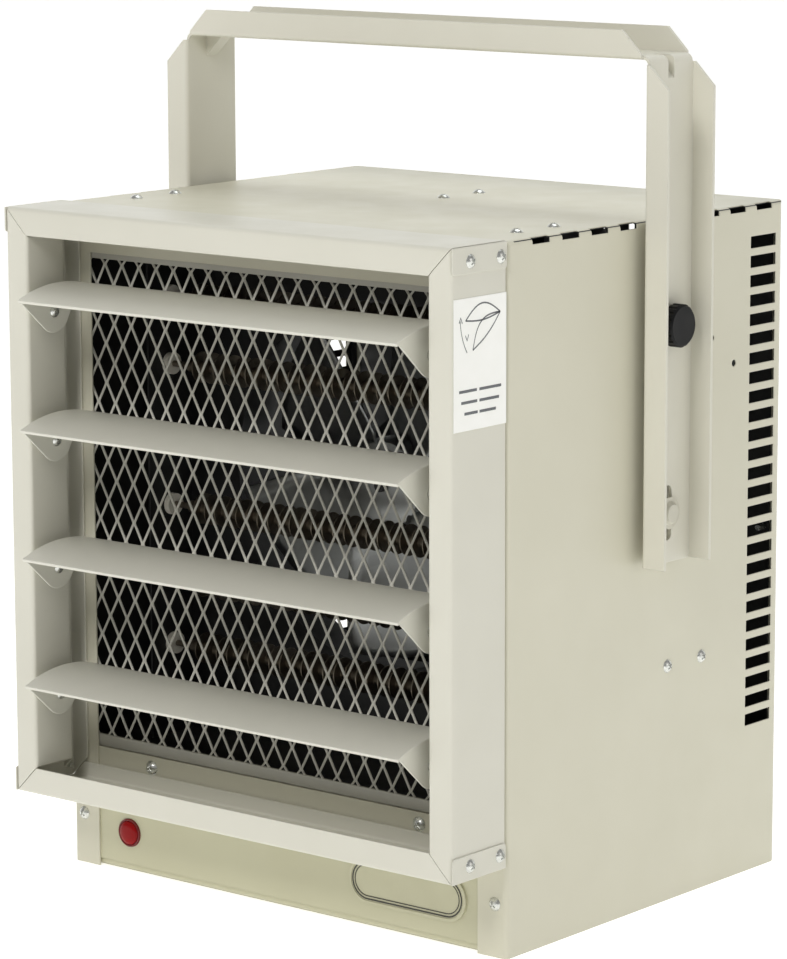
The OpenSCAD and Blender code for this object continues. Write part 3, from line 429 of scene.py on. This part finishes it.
def mesh_hem():
    """Folded edge strip round the sheet: a flat rounded section whose corners stand back both ways."""
    t = np.linspace(0, 2 * math.pi, 12, endpoint=False)
    inward = HEM / 2 - HEM / 2 * np.sign(np.cos(t)) * np.abs(np.cos(t)) ** 0.35
    deep = 1.35 * MM * np.sign(np.sin(t)) * np.abs(np.sin(t)) ** 0.6
    middle, half = (MESH_LOW + MESH_HIGH) / 2, (MESH_HIGH - MESH_LOW) / 2
    signs = np.array([[-1, -1], [1, -1], [1, 1], [-1, 1]])
    points = np.empty((4, len(t), 3))
    points[..., 0] = middle[0] + signs[:, :1] * (half[0] - inward)
    points[..., 1] = middle[1] + deep
    points[..., 2] = middle[2] + signs[:, 1:] * (half[2] - inward)
    return points.reshape(-1, 3), grid_faces(4, len(t), close_rows=True, close_cols=True)


piece("expanded_outlet_mesh", join(expanded_metal(), mesh_hem()), "mesh_steel", stands_for=["outlet_mesh"])


# ---------- louvres ----------

LOUVRE_HALF = 152 * MM
CHORD, ARCH, TILT = 57 * MM, 94 * MM, math.radians(6)
HUB = 13.5 * MM
TIP = np.array([-31.9, 10]) * MM
TAIL = TIP + CHORD * np.array([math.cos(TILT), math.sin(TILT)])
RISE = math.sqrt(ARCH ** 2 - CHORD ** 2 / 4)
ARC_CENTRE = (TIP + TAIL) / 2 + RISE * np.array([math.sin(TILT), -math.cos(TILT)])


def arc(radius, start, end, steps):
    """Points on a circle about the blade's own arc centre."""
    t = np.linspace(start, end, steps)
    return ARC_CENTRE + radius * np.stack([np.cos(t), np.sin(t)], 1)


def louvre(pivot):
    """Arched blade with a folded front edge, and an ear under each end whose outline runs straight from
    both blade edges to touch a circle about the pivot."""
    lead = math.atan2(*(TIP - ARC_CENTRE)[::-1])
    trail = math.atan2(*(TAIL - ARC_CENTRE)[::-1])
    hem = 8 * MM / ARCH
    blade = np.vstack([arc(ARCH, lead, trail, 25), arc(ARCH - 1.0 * MM, trail, lead - hem, 21),
                       arc(ARCH - 2.1 * MM, lead - hem - 0.004, lead, 5)])
    reach = [math.acos(HUB / np.linalg.norm(edge)) for edge in (TIP, TAIL)]
    start = math.atan2(TIP[1], TIP[0]) + reach[0]
    end = 2 * math.pi + math.atan2(TAIL[1], TAIL[0]) - reach[1]
    t = np.linspace(start, end, 21)
    hub = HUB * np.stack([np.cos(t), np.sin(t)], 1)
    ear = np.vstack([hub, arc(ARCH - 0.5 * MM, trail + 0.008, lead - 0.008, 15)])

    def place(a, b, h):
        return np.stack([h, pivot[1] + a, pivot[2] + b], 1)
    ears = [prism(ear, place, s * (LOUVRE_HALF - 1.1 * MM), s * LOUVRE_HALF) for s in (-1, 1)]
    return join(prism(blade, place, 0.15 * MM - LOUVRE_HALF, LOUVRE_HALF - 0.15 * MM), *ears)


for joint in frame["joints"]:
    if joint["child"].startswith("blade_"):
        number = joint["child"][-1]
        piece("formed_louvre_" + number, louvre(joint["pos_m"]), "louver_paint", joint["child"],
              ["louver_" + number], bevel=0.3 * MM)


# ---------- fan, floor lip and lamp ------

BLADE_ROOT, BLADE_TIP, BLADE_TURN = 27 * MM, 112 * MM, math.radians(-2)
BLADE_ROWS, BLADE_COLS = 14, 11


def fan_blades(centre, count=5):
    """Pressed blades: across the chord s runs -1 to 1 and out to the tip r runs from the hub, the chord
    grows as the square root of r, the pitch falls from root to tip and the camber is a parabola."""
    r = np.linspace(BLADE_ROOT, BLADE_TIP, BLADE_ROWS)[:, None]
    s = np.linspace(-1, 1, BLADE_COLS)[None, :]
    share = (r - BLADE_ROOT) / (BLADE_TIP - BLADE_ROOT)
    half_chord = (22 + 34 * np.sqrt(share)) * MM
    pitch = np.radians(30 - 10 * share)
    camber = 4 * MM * (1 - s ** 2)
    across = half_chord * s * np.cos(pitch)
    deep = half_chord * s * np.sin(pitch) + camber
    angle = across / r
    turn = np.arange(count)[:, None, None] * 2 * math.pi / count + BLADE_TURN
    points = np.stack([r * np.cos(angle + turn), np.broadcast_to(deep, (count, *deep.shape)),
                       r * np.sin(angle + turn)], -1)
    faces = grid_faces(BLADE_ROWS, BLADE_COLS)[None]
    faces = faces + np.arange(count)[:, None, None] * BLADE_ROWS * BLADE_COLS
    return points.reshape(-1, 3) + centre, faces.reshape(-1, 4)


fan_centre = np.array(next(joint["pos_m"] for joint in frame["joints"] if joint["name"] == "fan_spin"))
hub_profile = np.array([[4.05, -12], [22, -12], [28, -10], [30, -6], [30, 13], [27, 13], [27, -4], [22, -8],
                        [12, -8], [12, 12], [4.05, 12], [4.05, -12]]) * MM
piece("fan_blades", fan_blades(fan_centre), "fan_aluminium", "fan", ["fan_rotor"], wall=1.5 * MM)
piece("fan_hub", lathe(hub_profile, fan_centre, "y"), "fan_aluminium", "fan", bevel=0.3 * MM)

PANEL_LOW, PANEL_HIGH = (np.array(corner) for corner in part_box("control_panel"))


def floor_lip():
    """Front lip of the floor plate: a sheet folded up behind the control panel's lower edge."""
    front, reach = PANEL_LOW[1] + 1.8 * MM, PANEL_HIGH[0] - 0.5 * MM
    course = fold([[front + 9 * MM, 1.8 * MM], [front, 1.8 * MM], [front, PANEL_LOW[2] + 2 * MM]], 1.2 * MM)
    return prism(strip(course, 1.0 * MM), lambda a, b, h: np.stack([h, a, b], 1), -reach, reach)


piece("floor_front_lip", floor_lip(), "panel_paint", bevel=0.2 * MM)

lamp = centre_of("pilot_lamp_lens")
lamp_face = PANEL_LOW[1]
LENS = np.array([[0, -2.9], [3, -2.8], [5.4, -2.5], [6.9, -2.0], [7.6, -1.4], [7.8, -0.9], [7.8, 3],
                 [0, 3]]) * MM
BEZEL = np.array([[7.8, -0.3], [8.0, -1.2], [8.6, -1.4], [9.2, -1.0], [9.4, 0], [7.8, 0.6], [7.8, -0.3]]) * MM
at_face = [lamp[0], lamp_face, lamp[2]]
piece("pilot_lamp_dome", lathe(LENS, at_face, "y"), "lamp_red", stands_for=["pilot_lamp_lens"])
piece("pilot_lamp_bezel", lathe(BEZEL, at_face, "y"), "lamp_red",
      finish=moulded("tinted_acrylic_rim", "#7a0d10", "#5f080b", 0.2, 0.3, 2 * MM))


# ---------- label and badge ----------

LABEL_LOW, LABEL_HIGH = (np.array(corner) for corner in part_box("louver_label"))
LABEL_SIZE = (LABEL_HIGH - LABEL_LOW)[1:]


def on_label(a, b, h):
    """Label coordinates: a along it from its front edge and b up from its lower edge, as shares of it."""
    return np.stack([h, LABEL_LOW[1] + a * LABEL_SIZE[0], LABEL_LOW[2] + b * LABEL_SIZE[1]], 1)


def ink(line, width=0.012):
    """A printed line on the label, 0.05 mm proud."""
    return prism(strip(np.asarray(line, float), width), on_label, LABEL_HIGH[0] - 0.05 * MM,
                 LABEL_HIGH[0] + 0.06 * MM)


HINGE = np.array([0.88, 0.86])
SHARE = np.array([1.0, LABEL_SIZE[0] / LABEL_SIZE[1]])


def swung_blade(angle):
    """The pictogram's blade: a crescent of two arcs through the same ends, turned about its pivot, its
    rise then made a share of the label's height."""
    s = np.linspace(0, 1, 17)
    cos, sin = math.cos(angle), math.sin(angle)
    lines = [np.stack([-0.66 * s, bow * np.sin(math.pi * s)], 1) for bow in (-0.04, 0.16)]
    return [ink(line @ np.array([[cos, sin], [-sin, cos]]) * SHARE + HINGE) for line in lines]


pictogram = []
for angle in (math.radians(4), math.radians(38)):
    pictogram += swung_blade(angle)
sweep = np.linspace(math.radians(183), math.radians(214), 9)
pictogram.append(ink(HINGE + 0.76 * np.stack([np.cos(sweep), np.sin(sweep)], 1) * SHARE, 0.01))
for a, b, lean in ((0.13, 0.86, 1), (0.25, 0.68, -1)):
    pictogram.append(ink([[a - 0.03, b - 0.04 * lean], [a, b], [a + 0.03, b - 0.045 * lean]], 0.012))
for row, (start, stop) in enumerate(((0.10, 0.90), (0.14, 0.86), (0.20, 0.80))):
    b = 0.30 - row * 0.085
    for first, last in ((start, start + 0.42 * (stop - start)), (start + 0.48 * (stop - start), stop)):
        pictogram.append(ink([[first, b], [(first + last) / 2, b], [last, b]], 0.022))
piece("label_pictogram", join(*pictogram), "label_film", finish=INK)

BADGE = centre_of("badge_plate")
BADGE_LOW, BADGE_HIGH = (np.array(corner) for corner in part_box("badge_plate"))
BADGE_W, BADGE_H = BADGE_HIGH[0] - BADGE_LOW[0], BADGE_HIGH[2] - BADGE_LOW[2]


def badge_ring(outset, width):
    """A flat printed oblong ring on the badge."""
    outer, inner = (oblong(BADGE_W - 2 * (outset + d), BADGE_H - 2 * (outset + d)) for d in (0, width))
    n = len(outer)
    y = BADGE_LOW[1] + 0.35 * MM
    rings = [np.stack([BADGE[0] + line[:, 0], np.full(n, y - up), BADGE[2] + line[:, 1]], 1)
             for line, up in ((outer, 0), (outer, 0.12 * MM), (inner, 0.12 * MM), (inner, 0))]
    return np.vstack(rings), grid_faces(4, n, close_rows=True, close_cols=True)


piece("badge_outline", join(badge_ring(2.9 * MM, 0.9 * MM), badge_ring(4.9 * MM, 0.6 * MM)), "badge_film",
      finish=DARK_INK)


# ---------- rear guard ----------

def ring(radius, wire, centre, steps=72):
    """Round wire bent to a circle."""
    t = np.linspace(0, 2 * math.pi, 9)[:-1]
    return lathe(np.append(np.stack([radius + wire * np.cos(t), wire * np.sin(t)], 1),
                           [[radius + wire, 0]], 0), centre, "y", steps)


def rod(start, end, wire):
    """Straight round wire between two points, its ends closed."""
    start, end = np.asarray(start, float), np.asarray(end, float)
    course = unit(end - start)
    side = unit(np.cross(course, [0, 1, 0]))
    other = np.cross(course, side)
    t = np.linspace(0, 2 * math.pi, 10, endpoint=False)[:, None]
    circle = wire * (np.cos(t) * side + np.sin(t) * other)
    points = np.vstack([start + circle, end + circle])
    return points, grid_faces(2, 10, close_cols=True).tolist() + [list(range(10)), list(range(10, 20))]


guard = centre_of("rear_guard")
guard_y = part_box("rear_panel")[1][1]
WIRE = 1.2 * MM
foot = np.array([128, 60]) * MM
foot_turn = math.atan2(foot[1], foot[0])
wires = [ring(k * 14 * MM, WIRE, [0, guard_y + WIRE, guard[2]]) for k in range(1, 10)]
for turn, reach in ((0, 127 * MM), (math.pi / 2, 127 * MM), (foot_turn, np.hypot(*foot) - 5 * MM),
                    (-foot_turn, np.hypot(*foot) - 5 * MM)):
    way = reach * np.array([math.cos(turn), 0, math.sin(turn)])
    middle = np.array([0, guard_y + 1.6 * WIRE, guard[2]])
    wires.append(rod(middle - way, middle + way, WIRE * 0.9))
EYE = np.array([[2.1, 0], [6, 0], [6.2, 0.6], [6, 1.2], [2.1, 1.2], [2.1, 0]]) * MM
for sx in (-1, 1):
    for sz in (-1, 1):
        wires.append(lathe(EYE, [sx * foot[0], guard_y, guard[2] + sz * foot[1]], "y", 32))
piece("wire_rear_guard", join(*wires), "guard_wire", stands_for=["rear_guard"])


# ---------- stage, light and camera ----------

def sweep_floor():
    """Studio floor that curves up into a wall far behind: flat to 3 m, then a quarter circle."""
    across = np.linspace(-30, 30, 21)
    t = np.linspace(0, math.pi / 2, 24)
    run = np.concatenate([[-9, 0, 5], 6 + 5 * np.sin(t), [11]])
    rise = np.concatenate([[0, 0, 0], 5 - 5 * np.cos(t), [12]])
    x, run_grid = np.meshgrid(across, run)
    z = np.broadcast_to(rise[:, None], x.shape)
    turn = math.radians(CAMERA_AZIMUTH)
    points = np.stack([x * math.cos(turn) - run_grid * math.sin(turn),
                       x * math.sin(turn) + run_grid * math.cos(turn), z], -1)
    return points.reshape(-1, 3), grid_faces(len(run), len(across))


CAMERA_AZIMUTH, CAMERA_ELEVATION, CAMERA_ROLL = 39.42, 10.156, -0.17
CAMERA_AT = Vector((1.59146, -1.96744, 0.70513))
CAMERA_LENS = 150.49

points, faces = sweep_floor()
floor_data = bpy.data.meshes.new("studio_floor")
floor_data.from_pydata(points.tolist(), [], faces.tolist())
floor_data.shade_smooth()
floor_paint, floor_tree, floor_shader, floor_place = surface(
    "studio_floor_paint", Roughness=0.9, Emission_Color=(1.0, 1.0, 0.99, 1.0), Emission_Strength=0.56)
floor_cloud = add(floor_tree, "ShaderNodeTexNoise", {"Vector": floor_place, "Scale": 1.5, "Detail": 2.0})
floor_mix = add(floor_tree, "ShaderNodeMix", {0: floor_cloud.outputs["Fac"], MIX_A: linear("#f6f6f4"),
                MIX_B: linear("#f1f1ee")}, data_type="RGBA")
floor_tree.links.new(floor_mix.outputs[MIX_OUT], floor_shader.inputs["Base Color"])
floor_data.materials.append(floor_paint)
studio_floor = bpy.data.objects.new("studio_floor", floor_data)
bpy.context.scene.collection.objects.link(studio_floor)

world = bpy.data.worlds.new("studio")
bpy.context.scene.world = world
world.use_nodes = True
world.node_tree.nodes["Background"].inputs["Color"].default_value = (1.0, 0.995, 0.98, 1.0)
world.node_tree.nodes["Background"].inputs["Strength"].default_value = 0.33


def softbox(name, at, aim, size, power, tint):
    """A square soft light that looks at a point."""
    light = bpy.data.lights.new(name, "AREA")
    light.size = size
    light.energy = power
    light.color = tint
    made = bpy.data.objects.new(name, light)
    made.location = at
    made.rotation_euler = (Vector(aim) - Vector(at)).to_track_quat("-Z", "Y").to_euler()
    bpy.context.scene.collection.objects.link(made)


softbox("key", (0.5, -2.6, 2.3), (0, 0, 0.28), 0.9, 41, (1.0, 0.99, 0.98))
softbox("side_fill", (2.8, 0.2, 1.2), (0, 0, 0.25), 1.8, 9, (1.0, 0.97, 0.94))
softbox("top_fill", (0.0, 0.6, 2.8), (0, 0, 0.4), 1.6, 19, (0.95, 0.99, 1.0))

# colours as mixed, with no film-like roll-off
bpy.context.scene.view_settings.view_transform = "Standard"

camera_data = bpy.data.cameras.new("camera")
camera_data.lens = CAMERA_LENS
camera_data.sensor_width = 36
camera_data.clip_end = 60
camera = bpy.data.objects.new("camera", camera_data)
azimuth, elevation, roll = (math.radians(a) for a in (CAMERA_AZIMUTH, CAMERA_ELEVATION, CAMERA_ROLL))
look = Vector((-math.sin(azimuth) * math.cos(elevation), math.cos(azimuth) * math.cos(elevation),
               -math.sin(elevation)))
right = Vector((math.cos(azimuth), math.sin(azimuth), 0))
up = right.cross(look)
right, up = (right * math.cos(roll) + up * math.sin(roll), up * math.cos(roll) - right * math.sin(roll))
turned = Matrix((right, up, -look)).transposed().to_4x4()
turned.translation = CAMERA_AT
camera.matrix_world = turned
bpy.context.scene.collection.objects.link(camera)
bpy.context.scene.camera = camera
